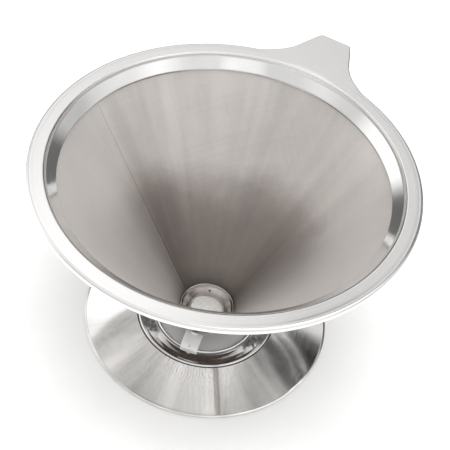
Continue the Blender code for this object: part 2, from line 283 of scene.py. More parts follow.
class Tree:
    """A short way to write a material's nodes."""

    def __init__(self, name):
        self.material = bpy.data.materials.new(name)
        self.material.use_nodes = True
        self.nodes = self.material.node_tree.nodes
        self.links = self.material.node_tree.links
        self.shader = self.nodes["Principled BSDF"]

    def math(self, operation, a, b=None):
        node = self.nodes.new("ShaderNodeMath")
        node.operation = operation
        for socket, value in zip(node.inputs, (a, b)):
            if value is None:
                continue
            if isinstance(value, (int, float)):
                socket.default_value = value
            else:
                self.links.new(value, socket)
        return node.outputs[0]

    def times(self, a, b):
        return self.math("MULTIPLY", a, b)

    def plus(self, a, b):
        return self.math("ADD", a, b)

    def position(self):
        """The place as one socket and as its (x, y, z) sockets, in metres in the row frame."""
        place = self.nodes.new("ShaderNodeTexCoord")
        split = self.nodes.new("ShaderNodeSeparateXYZ")
        self.links.new(place.outputs["Object"], split.inputs[0])
        return place.outputs["Object"], split.outputs

    def radius(self):
        """Distance from the cone's axis, in metres."""
        _, (x, y, _) = self.position()
        return self.math("SQRT", self.plus(self.times(x, x), self.times(y, y)))

    def vector(self, x, y, z):
        join = self.nodes.new("ShaderNodeCombineXYZ")
        for socket, value in zip(join.inputs, (x, y, z)):
            if isinstance(value, (int, float)):
                socket.default_value = value
            else:
                self.links.new(value, socket)
        return join.outputs[0]

    def noise(self, vector, scale, detail=2.0, roughness=0.5):
        node = self.nodes.new("ShaderNodeTexNoise")
        node.inputs["Scale"].default_value = scale
        node.inputs["Detail"].default_value = detail
        node.inputs["Roughness"].default_value = roughness
        self.links.new(vector, node.inputs["Vector"])
        return node.outputs[0]

    def ramp(self, value, stops):
        node = self.nodes.new("ShaderNodeValToRGB")
        elements = node.color_ramp.elements
        while len(elements) < len(stops):
            elements.new(0.5)
        for element, (place, colour) in zip(elements, stops):
            element.position = place
            element.color = (*colour, 1.0)
        self.links.new(value, node.inputs[0])
        return node.outputs["Color"]

    def multiply(self, first, second):
        """The product of two colours."""
        node = self.nodes.new("ShaderNodeVectorMath")
        node.operation = "MULTIPLY"
        self.links.new(first, node.inputs[0])
        self.links.new(second, node.inputs[1])
        return node.outputs[0]

    def range(self, value, low, high, to_low, to_high):
        node = self.nodes.new("ShaderNodeMapRange")
        for key, number in zip(("From Min", "From Max", "To Min", "To Max"), (low, high, to_low, to_high)):
            node.inputs[key].default_value = number
        self.links.new(value, node.inputs["Value"])
        return node.outputs[0]

    def bump(self, height, strength, distance):
        node = self.nodes.new("ShaderNodeBump")
        node.inputs["Strength"].default_value = strength
        node.inputs["Distance"].default_value = distance
        self.links.new(height, node.inputs["Height"])
        return node.outputs[0]

    def metal(self, anisotropic=0.0, rotation=0.0, tangent=None):
        self.shader.inputs["Metallic"].default_value = 1.0
        self.shader.inputs["Anisotropic"].default_value = anisotropic
        self.shader.inputs["Anisotropic Rotation"].default_value = rotation
        if anisotropic:
            node = self.nodes.new("ShaderNodeTangent")
            if tangent:
                node.direction_type = "UV_MAP"
                node.uv_map = tangent
            else:
                node.direction_type = "RADIAL"
                node.axis = "Z"
            self.links.new(node.outputs[0], self.shader.inputs["Tangent"])

    def set(self, socket, value):
        if isinstance(value, (int, float, tuple)):
            self.shader.inputs[socket].default_value = value
        else:
            self.links.new(value, self.shader.inputs[socket])


WHITE = (1.0, 1.0, 1.0)
# Colour of the painted shade in the cup's floor corner
PAINTED_CUP_SHADE = (0.16, 0.135, 0.12)
PAINTED_SHADE_AZIMUTH = math.radians(60.0)  # where the painted shade on the clamp ring, on the side under the handle, is darkest
ACROSS = 0.25  # the turn of the highlight that sets it across the lathe marks


def grey(level):
    return (level, level, level)


def turned_metal(name, dark, light, roughness, anisotropic, pitch, depth,
                 smudge=0.03, painted_shade_by_height=None, painted_reflection_wedges=0.0, metallic=1.0):
    """Steel with lathe marks: fine rings round the axis, broken up by slow changes along them."""
    t = Tree(name)
    place, (x, y, z) = t.position()
    r = t.radius()
    angle = t.math("ARCTAN2", y, x)
    outward = t.plus(r, t.times(z, 0.7))
    rings = t.noise(t.vector(outward, t.times(angle, 0.0006), 0.0), 1 / (pitch * MM), 3.0, 0.65)
    broad = t.noise(place, 55.0, 3.0, 0.6)
    fine = t.noise(place, 420.0, 2.0, 0.5)
    tone = t.plus(t.times(rings, 0.6), t.times(broad, 0.4))
    colour = t.ramp(tone, [(0.3, dark), (0.7, light)])
    # Painted shade by height: multiplies the colour by a ramp over z
    if painted_shade_by_height:
        colour = t.multiply(colour, t.ramp(z, painted_shade_by_height))
    # Painted reflection: dark wedges round the axis, like the reflections in brushed metal
    if painted_reflection_wedges:
        wave = 4.5
        around = t.vector(t.times(t.math("COSINE", angle), wave), t.times(t.math("SINE", angle), wave), r)
        share = t.ramp(t.noise(around, 1.0, 3.0, 0.6), [(0.36, grey(1.0 - painted_reflection_wedges)), (0.62, WHITE)])
        colour = t.multiply(colour, share)
    t.set("Base Color", colour)
    marks = t.range(rings, 0.3, 0.7, roughness * 0.85, roughness * 1.15)
    t.set("Roughness", t.plus(marks, t.range(broad, 0.3, 0.7, -smudge, smudge)))
    t.set("Normal", t.bump(t.plus(rings, t.times(fine, 0.15)), 0.35, depth * MM))
    t.metal(anisotropic, ACROSS)
    t.set("Metallic", metallic)
    return t.material


def polished_metal(name, colour, roughness, smudge, metallic=1.0, painted_side_shade=False):
    """Mirror steel with faint wiping marks and tiny waves in its surface."""
    t = Tree(name)
    place, (x, y, z) = t.position()
    broad = t.noise(place, 90.0, 3.0, 0.55)
    wipe = t.noise(t.vector(t.times(x, 3.0), y, t.times(z, 6.0)), 160.0, 4.0, 0.7)
    dark = tuple(c * 0.94 for c in colour)
    tone = t.ramp(broad, [(0.3, dark), (0.7, colour)])
    # Painted shade: darkens the side of the ring under the handle
    if painted_side_shade:
        side = t.plus(t.times(x, math.cos(PAINTED_SHADE_AZIMUTH)), t.times(y, math.sin(PAINTED_SHADE_AZIMUTH)))
        side = t.math("DIVIDE", side, t.plus(t.radius(), MM))
        tone = t.multiply(tone, t.ramp(side, [(0.15, WHITE), (0.6, (0.2, 0.19, 0.185))]))
    t.set("Base Color", tone)
    wiped = t.range(wipe, 0.35, 0.75, roughness, roughness + smudge)
    t.set("Roughness", t.plus(wiped, t.range(broad, 0.3, 0.7, 0.0, smudge * 0.5)))
    t.set("Normal", t.bump(broad, 0.12, 0.25 * MM))
    t.metal()
    t.set("Metallic", metallic)
    return t.material


def wires(t, u, v, pitch):
    """Height of the weave, and which of the two sets of wires is on top."""
    turn = math.pi / (pitch * MM)
    wire_u = t.math("ABSOLUTE", t.math("SINE", t.times(u, turn)))
    wire_v = t.math("ABSOLUTE", t.math("SINE", t.times(v, turn)))
    check_u = t.math("COSINE", t.times(u, turn))
    check_v = t.math("COSINE", t.times(v, turn))
    over = t.math("GREATER_THAN", t.times(check_u, check_v), 0.0)
    under = t.math("SUBTRACT", 1.0, over)
    return t.plus(t.times(wire_u, over), t.times(wire_v, under)), over


def coffee_stain_and_painted_shade(t, place, z, blotches):
    """The darkening of the mesh, and how much of each side gets the lighter tone.

    The darkening is partly a coffee stain and partly painted shade, darkest low down and on the side under
    the handle; the lighter tone elsewhere is painted light. across goes from 0 to 1 round the cone, and is
    0.5 in the middle of the darkening.
    """
    facing = t.nodes.new("ShaderNodeVectorRotate")
    facing.rotation_type = "Z_AXIS"
    facing.inputs["Angle"].default_value = -math.radians(STAIN_AND_SHADE_AZIMUTH)
    t.links.new(place, facing.inputs["Vector"])
    faced = t.nodes.new("ShaderNodeSeparateXYZ")
    t.links.new(facing.outputs[0], faced.inputs[0])
    across = t.math("ARCTAN2", faced.outputs[1], faced.outputs[0])
    across = t.range(across, -math.radians(150), math.radians(150), 0.0, 1.0)
    unstained_painted_light = t.ramp(across, [
        (0.08, WHITE),
        (0.18, grey(0.4)),
        (0.28, grey(0.0)),
        (0.668, grey(0.0)),
        (0.70, grey(0.22)),
        (0.75, grey(0.6)),
        (0.83, WHITE),
    ])
    reach = t.ramp(across, [
        (0.28, grey(0.5)),
        (0.40, grey(0.55)),
        (0.46, grey(0.0)),
        (0.58, grey(0.0)),
        (0.66, WHITE),
    ])
    level = t.math("SUBTRACT", z, t.times(reach, 9 * MM))
    level = t.plus(level, t.times(t.math("SUBTRACT", blotches, 0.5), 12 * MM))
    stain_and_painted_shade = t.ramp(level, [
        (8 * MM, (0.29, 0.26, 0.24)),
        (26 * MM, (0.34, 0.31, 0.295)),
        (33 * MM, (0.53, 0.50, 0.485)),
        (41 * MM, grey(0.98)),
    ])
    streaks = t.noise(t.vector(t.times(across, 34.0), t.times(z, 14.0), 7.0), 1.0, 2.5, 0.5)
    return t.multiply(stain_and_painted_shade, t.ramp(streaks, [(0.34, grey(0.88)), (0.6, WHITE)])), unstained_painted_light


def woven_metal(name, pitch, dark, light, roughness, anisotropic, sheen, coat, metallic):
    """Fine wire cloth: two sets of wires on the cone's flat pattern, over and under each other."""
    t = Tree(name)
    uv = t.nodes.new("ShaderNodeUVMap")
    uv.uv_map = "cloth"
    split = t.nodes.new("ShaderNodeSeparateXYZ")
    t.links.new(uv.outputs[0], split.inputs[0])
    u, v = split.outputs[0], split.outputs[1]
    place, (_, _, z) = t.position()
    height, over = wires(t, u, v, pitch)
    along, across = 900.0, 14.0
    warp = t.noise(t.vector(t.times(u, along), t.times(v, across), 0.0), 1.0, 3.0, 0.6)
    weft = t.noise(t.vector(t.times(u, across), t.times(v, along), 3.0), 1.0, 3.0, 0.6)
    blotches = t.noise(place, 28.0, 4.0, 0.6)
    tone = t.plus(t.times(height, 0.45), t.times(t.plus(warp, weft), 0.12))
    tone = t.plus(tone, t.times(blotches, 0.36))
    # Darker low down and on the side under the handle: a coffee stain together with painted shade; the other
    # sides get a lighter tone, which is painted light
    stain_and_painted_shade, unstained_painted_light = coffee_stain_and_painted_shade(t, place, z, blotches)
    stained_and_shaded = t.multiply(t.ramp(tone, [(0.2, dark), (0.75, light)]), stain_and_painted_shade)
    painted_light_tone = [(0.2, tuple(0.45 * (c + 1) for c in dark)), (0.75, tuple(0.5 * (c + 1) for c in light))]
    join = t.nodes.new("ShaderNodeMix")
    join.data_type = "RGBA"
    t.links.new(unstained_painted_light, join.inputs[0])
    t.links.new(stained_and_shaded, join.inputs[6])
    t.links.new(t.ramp(tone, painted_light_tone), join.inputs[7])
    # Painted shade at the very tip of the cone, where the mesh goes into the ferrule
    ring = t.ramp(z, [(6.2 * MM, (0.2, 0.17, 0.155)), (8.5 * MM, WHITE)])
    t.set("Base Color", t.multiply(join.outputs[2], ring))
    t.set("Roughness", t.range(blotches, 0.3, 0.7, roughness * 0.93, roughness * 1.07))
    t.set("Normal", t.bump(height, 0.35, pitch * 0.15 * MM))
    t.metal(anisotropic, 0.0, "cloth")
    t.set("Metallic", metallic)
    t.set("Anisotropic Rotation", t.times(over, 0.25))
    t.set("Sheen Weight", sheen)
    t.set("Sheen Roughness", 0.45)
    t.set("Sheen Tint", (1.0, 0.96, 0.93, 1.0))
    t.set("Coat Weight", coat)
    t.set("Coat Roughness", 0.35)
    t.set("Coat IOR", 1.9)
    return t.material


SATIN = turned_metal("satin_rim", (0.86, 0.85, 0.845), (0.93, 0.925, 0.92),
                     roughness=0.25, anisotropic=0.0, pitch=0.5, depth=0.0005, smudge=0.02)
POLISHED = polished_metal("polished_collar", (0.86, 0.86, 0.855), roughness=0.045, smudge=0.05)
NECK = polished_metal("polished_neck", (0.86, 0.855, 0.85), roughness=0.05, smudge=0.02)
# The clamp ring is darker on the side under the handle: painted shade
CLAMP = polished_metal("dull_clamp", (0.62, 0.61, 0.60), roughness=0.20, smudge=0.06, painted_side_shade=True)
# The cup is darkened at its floor corner and just under its lip: painted shade in the recess and under the
# ferrule
CUP = turned_metal("spun_cup", (0.46, 0.42, 0.39), (0.96, 0.94, 0.92),
                   roughness=0.16, anisotropic=0.4, pitch=0.6, depth=0.01,
                   painted_shade_by_height=[(1.8 * MM, PAINTED_CUP_SHADE), (3.4 * MM, WHITE), ((CUP_OPENING[1] - 0.8) * MM, WHITE),
                          ((CUP_OPENING[1] - 0.3) * MM, (0.20, 0.17, 0.15))])
DISC = turned_metal("turned_disc", (0.90, 0.89, 0.88), (0.97, 0.965, 0.96),
                    roughness=0.30, anisotropic=0.3, pitch=0.4, depth=0.002, metallic=0.8)
# Nearly black: painted shade on the ferrule at the foot of the cone; the cup's dark dot uses it too
FERRULE = turned_metal("painted_shade_ferrule", (0.08, 0.064, 0.056), (0.12, 0.10, 0.088),
                       roughness=0.25, anisotropic=0.3, pitch=0.3, depth=0.004)
# The foot carries painted reflection wedges round its axis
BRUSHED = turned_metal("brushed_foot", (0.80, 0.79, 0.78), (0.93, 0.92, 0.91),
                       roughness=0.115, anisotropic=0.82, pitch=0.28, depth=0.002, smudge=0.015, painted_reflection_wedges=0.16)
# The outer cone is darkened at its foot, next to the ferrule: painted shade
SUPPORT = turned_metal("perforated_sheet", (0.74, 0.73, 0.72), (0.86, 0.85, 0.84),
                       roughness=0.12, anisotropic=0.3, pitch=0.5, depth=0.002, smudge=0.01,
                       painted_shade_by_height=[(5 * MM, (0.16, 0.13, 0.115)), (11 * MM, WHITE)])
SUPPORT_WELD = turned_metal("burnt_weld", (0.32, 0.295, 0.28), (0.46, 0.43, 0.41),
                            roughness=0.25, anisotropic=0.2, pitch=0.5, depth=0.01)
ARM = polished_metal("arm_steel", (0.96, 0.95, 0.94), roughness=0.30, smudge=0.08, metallic=0.35)
WELD = polished_metal("weld_steel", (0.86, 0.85, 0.84), roughness=0.34, smudge=0.1, metallic=0.6)
# The lap's cut edge is coloured dark, darker lower down: painted shadow along the lap
SEAM_EDGE_SHADOW = turned_metal("mesh_seam_painted_shadow", (0.42, 0.39, 0.37), (0.54, 0.51, 0.49),
                    roughness=0.45, anisotropic=0.0, pitch=0.5, depth=0.01,
                    painted_shade_by_height=[(24 * MM, (0.10, 0.08, 0.07)), (62 * MM, WHITE)])
MESH = woven_metal("woven_mesh_steel", 0.30, (0.36, 0.335, 0.32), (0.875, 0.83, 0.80),
                   roughness=0.2, anisotropic=0.6, sheen=0.8, coat=0.5, metallic=0.45)


# ---------------------------------------------------------------- rim and handle


def handle_half():
    """Half of the tab's outline in (u, v), from the middle of its end to the rim."""
    normal = Vector((HANDLE_SIDE_SLOPE, 1.0)).normalized()
    on_side = Vector((HANDLE_END, HANDLE_END_HALF_WIDTH))
    reach = RIM_RADIUS + HANDLE_ROOT_RADIUS
    low, high = RIM_RADIUS, reach
    # Halves the range until the root arc touches both the tab's side and the rim
    for _ in range(60):
        u = (low + high) / 2
        v = on_side.y + (HANDLE_ROOT_RADIUS - normal.x * (u - on_side.x)) / normal.y
        if math.hypot(u, v) < reach:
            low = u
        else:
            high = u
    centre = Vector((u, v))
    on_line = centre - normal * HANDLE_ROOT_RADIUS
    on_rim = centre * (RIM_RADIUS / reach)
    first = math.degrees(math.atan2(on_line.y - centre.y, on_line.x - centre.x))
    last = math.degrees(math.atan2(on_rim.y - centre.y, on_rim.x - centre.x))
    root = arc(centre, HANDLE_ROOT_RADIUS, first, last - 360 if last > first else last, 40)
    tilt = math.degrees(math.atan2(normal.y, normal.x))
    turn = math.radians(tilt)
    corner_v = on_side.y - HANDLE_CORNER_RADIUS * (1 + math.cos(turn)) / math.sin(turn)
    corner = arc((HANDLE_END - HANDLE_CORNER_RADIUS, corner_v), HANDLE_CORNER_RADIUS, 0, tilt, 8)
    straight = [(HANDLE_END, corner_v * k / 6) for k in range(6)]
    a, b = Vector(corner[-1]), Vector(root[0])
    side = [tuple(a.lerp(b, k / 5)) for k in range(1, 5)]
    return straight + corner + side + root


def rim_outline():
    """The whole outline, with the tab along +Y, and how much of the rolled edge each point has."""
    half = handle_half()
    end = math.atan2(half[-1][1], half[-1][0])
    count = 190
    around = [end + (math.tau - 2 * end) * k / count for k in range(1, count)]
    circle = [(RIM_RADIUS * math.cos(a), RIM_RADIUS * math.sin(a)) for a in around]
    mirrored = [(u, -v) for u, v in reversed(half[1:])]
    points = half + circle + mirrored
    shares = []
    for u, v in points:
        angle = abs(math.atan2(v, u))
        share = (angle - ROLL_END) / (end - 0.02 - ROLL_END)
        share = min(max(share, 0.0), 1.0)
        shares.append(share * share * (3 - 2 * share))
    return [Vector((-v, u)) for u, v in points], shares


def make_rim():
    points, shares = rim_outline()
    total = len(points)
    # Each profile runs from the top, round the edge, to the underside: (distance in, height)
    rolled = [(1.9, 0.0), (1.5, -0.03)]
    for k in range(15):
        a = math.radians(100 - 19 * k)
        rolled.append((ROLL_RADIUS * (1 - math.cos(a)), -ROLL_RADIUS * (1 - math.sin(a))))
    rolled += [(2.5, -RIM_THICKNESS + 0.02), (2.9, -RIM_THICKNESS)]
    low = -HANDLE_THICKNESS
    soft = [(0.42, 0.012), (0.24, 0.06), (0.1, 0.16), (0.02, 0.3)]
    flat = [(0.9, 0.0), (0.7, 0.0), (0.55, 0.0)]
    flat += [(d, -h) for d, h in soft] + [(0.0, -0.5)] + [(d, low + h) for d, h in reversed(soft)]
    flat += [(d, low) for d in (0.5, 0.56, 0.62, 0.68, 0.75, 0.85, 0.95)]
    normals = []
    for i, point in enumerate(points):
        along = (points[(i + 1) % total] - points[i - 1]).normalized()
        normals.append(Vector((along.y, -along.x)))
    rows = []
    for (rd, rz), (fd, fz) in zip(rolled, flat):
        row = []
        for point, normal, share in zip(points, normals, shares):
            d = rd * share + fd * (1 - share)
            z = rz * share + fz * (1 - share)
            row.append((*(point - normal * d), RIM_TOP + z))
        rows.append(row)
    top, under = [], []
    edge = RIM_EDGE
    for k in range(1, 5):
        t = k / 5
        for target, row in ((top, rows[0]), (under, rows[-1])):
            ring = []
            for (x, y, z), point in zip(row, points):
                a = math.atan2(point.y, point.x)
                wall = RIM_INNER_RADIUS + edge
                blend = 1 - (1 - t) ** 1.4
                ring.append((x + (wall * math.cos(a) - x) * blend, y + (wall * math.sin(a) - y) * blend, z))
            target.append(ring)
    bore = []
    for d, z in ((edge, 0.0), (edge * 0.3, -edge * 0.3), (0.0, -edge), (0.0, -RIM_THICKNESS + edge),
                 (edge * 0.3, -RIM_THICKNESS + edge * 0.3), (edge, -RIM_THICKNESS)):
        ring = []
        for point in points:
            a = math.atan2(point.y, point.x)
            r = RIM_INNER_RADIUS + d
            ring.append((r * math.cos(a), r * math.sin(a), RIM_TOP + z))
        bore.append(ring)
    loops = rows + under + bore[::-1] + top[::-1]
    verts = [v for ring in loops for v in ring]
    faces = []
    for k in range(len(loops)):
        n = (k + 1) % len(loops)
        for i in range(total):
            j = (i + 1) % total
            faces.append((k * total + i, n * total + i, n * total + j, k * total + j))
    return new_mesh("rim_plate_fine", verts, faces, SATIN, sharp=50)


# ---------------------------------------------------------------- turned pieces


def make_collar():
    lean = math.atan2(COLLAR_HIGH[0] - COLLAR_LOW[0], COLLAR_HIGH[1] - COLLAR_LOW[1])
    out = Vector((math.cos(lean), -math.sin(lean))) * COLLAR_THICKNESS
    low, high = Vector(COLLAR_LOW), Vector(COLLAR_HIGH)
    side = RIM_INNER_RADIUS - GAP * 0.5
    profile = fillet([
        (side, RIM_TOP - 0.02, 0.12),
        (side, RIM_TOP - 0.65, 0.2),
        (*(high + out + Vector((-0.05, -0.25))), 0.4),
        (*(low + out), 0.22),
        (*low, 0.24),
        (low.x + 0.06, low.y + 0.72, 0.6),
        (high.x + 0.28, high.y - 0.55, 0.8),
        (high.x + 0.58, high.y + 0.50, 0.3),
    ], 0.2, count=7)
    return lathe("filter_collar_fine", profile, POLISHED, 320)


def cloth_map(obj):
    """Writes the flat pattern as a UV map, with the cut at the seam."""
    layer = obj.data.uv_layers.new(name="cloth")
    mesh = obj.data
    seam = math.radians(SEAM_AZIMUTH)
    for polygon in mesh.polygons:
        middle = polygon.center
        ahead = (math.atan2(middle.y, middle.x) - seam) % math.tau
        for index in polygon.loop_indices:
            co = mesh.vertices[mesh.loops[index].vertex_index].co
            angle = (math.atan2(co.y, co.x) - seam) % math.tau
            if angle - ahead > math.pi:
                angle -= math.tau
            if ahead - angle > math.pi:
                angle += math.tau
            slant = (co.z / MM - APEX_Z) / math.cos(LEAN) * MM
            turn = (angle - math.pi) * math.sin(LEAN)
            layer.data[index].uv = (slant * math.cos(turn), slant * math.sin(turn))


def make_mesh_cone():
    bands = 24
    heights = [MESH_LOW_Z + (MESH_HIGH_Z - MESH_LOW_Z) * k / bands for k in range(bands + 1)]
    inner = [(cone_radius(z), z) for z in heights]
    outer = [(cone_radius(z, MESH_THICKNESS), z) for _, z in reversed(inner)]
    obj = lathe("mesh_cone_fine", outer + inner, MESH, 288)
    cloth_map(obj)
    return obj


def ride_all(pairs):
    for piece, nodes, slot in pairs:
        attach(piece, "root")
        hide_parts(*nodes)


def strip_on_cone(name, azimuth, low_z, high_z, section, mat, along=60):
    """A strip along the cone's slope. Its section gives (side, offset from the mesh's inner line)."""
    verts, rows = [], []
    for i in range(along + 1):
        z = low_z + (high_z - low_z) * i / along
        row = []
        for side, off in section:
            r = cone_radius(z, off)
            a = math.radians(azimuth) + side / r
            row.append(len(verts))
            verts.append((r * math.cos(a), r * math.sin(a), z))
        rows.append(row)
    faces = []
    n = len(section)
    for i in range(along):
        for k in range(n):
            faces.append((rows[i][k], rows[i][(k + 1) % n], rows[i + 1][(k + 1) % n], rows[i + 1][k]))
    faces.append(tuple(reversed(rows[0])))
    faces.append(tuple(rows[-1]))
    return new_mesh(name, verts, faces, mat, sharp=35)


def make_support():
    """The outer cone: a sheet with rows of round holes, and plain margins at the top and bottom."""
    outer = SUPPORT_OFFSET + SUPPORT_THICKNESS
    first, last = HOLES_LOW_Z, HOLES_HIGH_Z
    rows = int((last - first) / math.cos(LEAN) / HOLE_PITCH)
    step_z = (last - first) / rows
    verts, faces = [], []
    known = {}

    def point(a, z, off):
        r = cone_radius(z, off)
        place = (r * math.cos(a), r * math.sin(a), z)
        key = tuple(round(c, 3) for c in place)
        if key not in known:
            known[key] = len(verts)
            verts.append(place)
        return known[key]

    for row in range(rows):
        z0 = first + row * step_z
        zc = z0 + step_z / 2
        rc = cone_radius(zc, outer)
        count = int(math.tau * rc / HOLE_PITCH)
        half = math.pi / count
        shift = half * (row % 2) + 0.4 * half * math.sin(2.4 * row)
        for i in range(count):
            ac = math.tau * i / count + shift
            ring, border = [], []
            for k in range(HOLE_SIDES):
                t = math.tau * (k + 0.5) / HOLE_SIDES
                c, d = math.cos(t), math.sin(t)
                m = max(abs(c), abs(d))
                ring.append((ac + HOLE_RADIUS * c / rc, zc + HOLE_RADIUS * d * math.cos(LEAN)))
                border.append((ac + half * c / m, zc + step_z / 2 * d / m))
            rings = [[point(a, z, off) for a, z in loop] for loop, off in
                     ((border, outer), (ring, outer), (ring, SUPPORT_OFFSET), (border, SUPPORT_OFFSET))]
            for near, far in zip(rings, rings[1:]):
                for k in range(HOLE_SIDES):
                    n = (k + 1) % HOLE_SIDES
                    faces.append((near[k], near[n], far[n], far[k]))
    sheet = new_mesh("support_cone_holes", verts, faces, SUPPORT, sharp=35)
    flange_z = RIM_TOP - RIM_THICKNESS - GAP
    upper = [
        (SUPPORT_FLANGE_RADIUS, flange_z),
        (SUPPORT_FLANGE_RADIUS, flange_z - SUPPORT_THICKNESS),
        (cone_radius(SUPPORT_HIGH_Z, outer) + 0.5, flange_z - SUPPORT_THICKNESS),
        (cone_radius(SUPPORT_HIGH_Z - 0.5, outer), SUPPORT_HIGH_Z - 0.5),
        (cone_radius(last, outer), last),
        (cone_radius(last, SUPPORT_OFFSET), last),
        (cone_radius(SUPPORT_HIGH_Z, SUPPORT_OFFSET), SUPPORT_HIGH_Z),
        (cone_radius(SUPPORT_HIGH_Z, SUPPORT_OFFSET) + 0.35, flange_z),
    ]
    lower = [
        (cone_radius(first, outer), first),
        (cone_radius(SUPPORT_LOW_Z, outer), SUPPORT_LOW_Z),
        (cone_radius(SUPPORT_LOW_Z, SUPPORT_OFFSET), SUPPORT_LOW_Z),
        (cone_radius(first, SUPPORT_OFFSET), first),
    ]
    top = lathe("support_cone_top", fillet(upper, 0.12), SUPPORT)
    low = lathe("support_cone_foot", fillet(lower, 0.05), SUPPORT, 192)
    top.parent = sheet
    low.parent = sheet
    return sheet


def make_clamp():
    top = RIM_TOP - RIM_THICKNESS - 2 * GAP - SUPPORT_THICKNESS
    skirt_low = top - CLAMP_SKIRT
    wall = CLAMP_THICKNESS
    near = SUPPORT_OFFSET + SUPPORT_THICKNESS + GAP
    profile = [
        (SUPPORT_FLANGE_RADIUS, top, 0.2),
        (SUPPORT_FLANGE_RADIUS, top - wall, 0.2),
        (cone_radius(top - 1.4, near + wall) + 0.25, top - wall - 0.15, 0.5),
        (cone_radius(top - 1.9, near + wall), top - 1.9, 0.5),
        (cone_radius(skirt_low, near + wall), skirt_low, 0.3),
        (cone_radius(skirt_low, near) - 0.15, skirt_low - 0.1, 0.2),
        (cone_radius(skirt_low, near), skirt_low, 0.1),
        (cone_radius(top - 1.2, near), top - 1.2, 0.3),
        (cone_radius(top - 0.6, near) + 0.35, top, 0.2),
    ]
    return lathe("clamp_ring_fine", fillet(profile, 0.2, count=5), CLAMP)


def make_cup():
    """The spun cup, with the small dark dot on its wall joined to it."""
    lip_r, lip_z = CUP_OPENING
    well, bottom = CUP_FLOOR_Z, CUP_FLOOR_Z - CUP_THICKNESS
    profile = [
        (0.0, bottom),
        (CUP_FLOOR_RADIUS - 0.4, bottom, 0.6),
        (CUP_FLOOR_RADIUS + 0.45, bottom + 0.35, 0.8),
        (lip_r + 0.15, lip_z - 1.55, 0.8),
        (lip_r + 0.35, lip_z - 0.75, 0.5),
        (lip_r + 0.5, lip_z - 0.15, 0.25),
        (lip_r + 0.25, lip_z + 0.12, 0.25),
        (lip_r, lip_z, 0.25),
        (lip_r - 0.35, lip_z - 1.3, 0.8),
        (CUP_FLOOR_RADIUS + 0.15, well + 0.7, 0.8),
        (CUP_FLOOR_RADIUS - 0.35, well + 0.15, 0.5),
        (CUP_FLOOR_RADIUS - 0.8, well, 0.4),
        (0.0, well),
    ]
    cup = lathe("bottom_cup_fine", fillet(profile, 0.3, closed=False, count=6)[::-1], CUP, 160)
    dot = make_nugget("bottom_cup_dot", DOT_AZIMUTH, lip_r - 1.12, lip_z - 2.3, DOT_SIZE, 9)
    dot.data.materials[0] = FERRULE
    with bpy.context.temp_override(active_object=cup, selected_editable_objects=[cup, dot]):
        bpy.ops.object.join()
    return cup


def make_disc():
    low = CUP_FLOOR_Z + GAP * 0.4
    profile = [
        (0.0, DISC_TOP + CROWN),
        (DISC_RADIUS - 0.9, DISC_TOP, 0.3),
        (DISC_RADIUS - 0.25, DISC_TOP - 0.05, 0.2),
        (DISC_RADIUS, DISC_TOP - 0.3, 0.2),
        (DISC_RADIUS, low, 0.1),
        (0.0, low),
    ]
    return lathe("cup_disc_fine", fillet(profile, 0.2, closed=False, count=5), DISC, 128)


def make_ferrule():
    near = SUPPORT_OFFSET + SUPPORT_THICKNESS + GAP
    high, low, wall = FERRULE_HIGH_Z - 0.05, FERRULE_LOW_Z, FERRULE_THICKNESS
    inner_low = cone_radius(MESH_LOW_Z, -0.2) - 0.1
    outer = cone_radius(low + 0.8, near + wall)
    profile = [
        (cone_radius(high, near) + 0.25, high + 0.05, 0.1),
        (cone_radius(high, near + wall), high - 0.25, 0.15),
        (outer, low + 0.8, 0.6),
        (outer - 0.3, low + 0.2, 0.4),
        (outer - 0.75, low, 0.3),
        (inner_low + 0.5, low, 0.15),
        (inner_low + 0.35, low + 0.35, 0.1),
        (cone_radius(SUPPORT_LOW_Z, near) - 0.3, low + 0.4, 0.1),
        (cone_radius(SUPPORT_LOW_Z, near), SUPPORT_LOW_Z, 0.1),
        (cone_radius(high, near), high - 0.1, 0.08),
    ]
    return lathe("tip_ferrule_fine", fillet(profile, 0.2, count=4), FERRULE, 160)


def make_neck():
    thick = NECK_THICKNESS
    bead = (NECK_OUTER_RADIUS - NECK_BEAD_RADIUS, NECK_BEAD_Z)
    profile = arc(bead, NECK_BEAD_RADIUS, 100, -60, 14)
    profile += fillet([
        (bead[0] - 0.5, bead[1] - 0.6),
        (bead[0] - 0.9, bead[1] - 0.62, 0.4),
        (21.5, 0.72, 2.0),
        (19.35, NECK_LOW_Z, 0.3),
        (18.80, NECK_LOW_Z, 0.1),
        (18.70, 0.6, 0.1),
        (18.85, NECK_LOW_Z + thick, 0.1),
        (19.35, 0.44 + thick, 0.5),
        (21.5, 0.76 + thick, 2.5),
        (23.2, 1.2 + thick, 1.2),
        (bead[0] - 0.4, bead[1] + 0.48),
    ], 0.3, closed=False, count=6)[1:-1]
    return lathe("neck_ring_fine", profile, NECK, 320, sharp=60)


def make_lip():
    centre = (NECK_HOLE_RADIUS + LIP_RADIUS, LIP_LOW_Z + LIP_RADIUS)
    profile = arc(centre, LIP_RADIUS, 90, -255, 22)
    return lathe("neck_lip_fine", profile, NECK, 288, sharp=80)


def make_brim():
    profile = [
        (25.35, 2.12, 0.15),
        (BRIM_RADIUS - 0.9, 0.97, 1.2),
        (BRIM_RADIUS - 0.45, 0.88, 0.4),
        (BRIM_RADIUS - 0.15, 0.75, 0.25),
        (BRIM_RADIUS, 0.45, 0.3),
        (BRIM_RADIUS - 0.12, 0.15, 0.15),
        (BRIM_RADIUS - 0.4, 0.0, 0.15),
        (BRIM_RADIUS - 1.4, 0.0, 0.15),
        (BRIM_RADIUS - 1.7, 0.35, 0.2),
        (35.0, 1.5 - BRIM_THICKNESS, 4.0),
        (25.9, 2.1 - BRIM_THICKNESS, 0.5),
        (25.2, 0.5, 0.4),
        (24.4, 0.28, 0.3),
        (BRIM_INNER_RADIUS, 0.02, 0.1),
        (BRIM_INNER_RADIUS, 0.3, 0.1),
        (24.4, 0.62, 0.3),
        (25.2, 1.3, 0.3),
    ]
    return lathe("base_brim_fine", fillet(profile, 0.2, count=5), BRUSHED, 384, sharp=60)


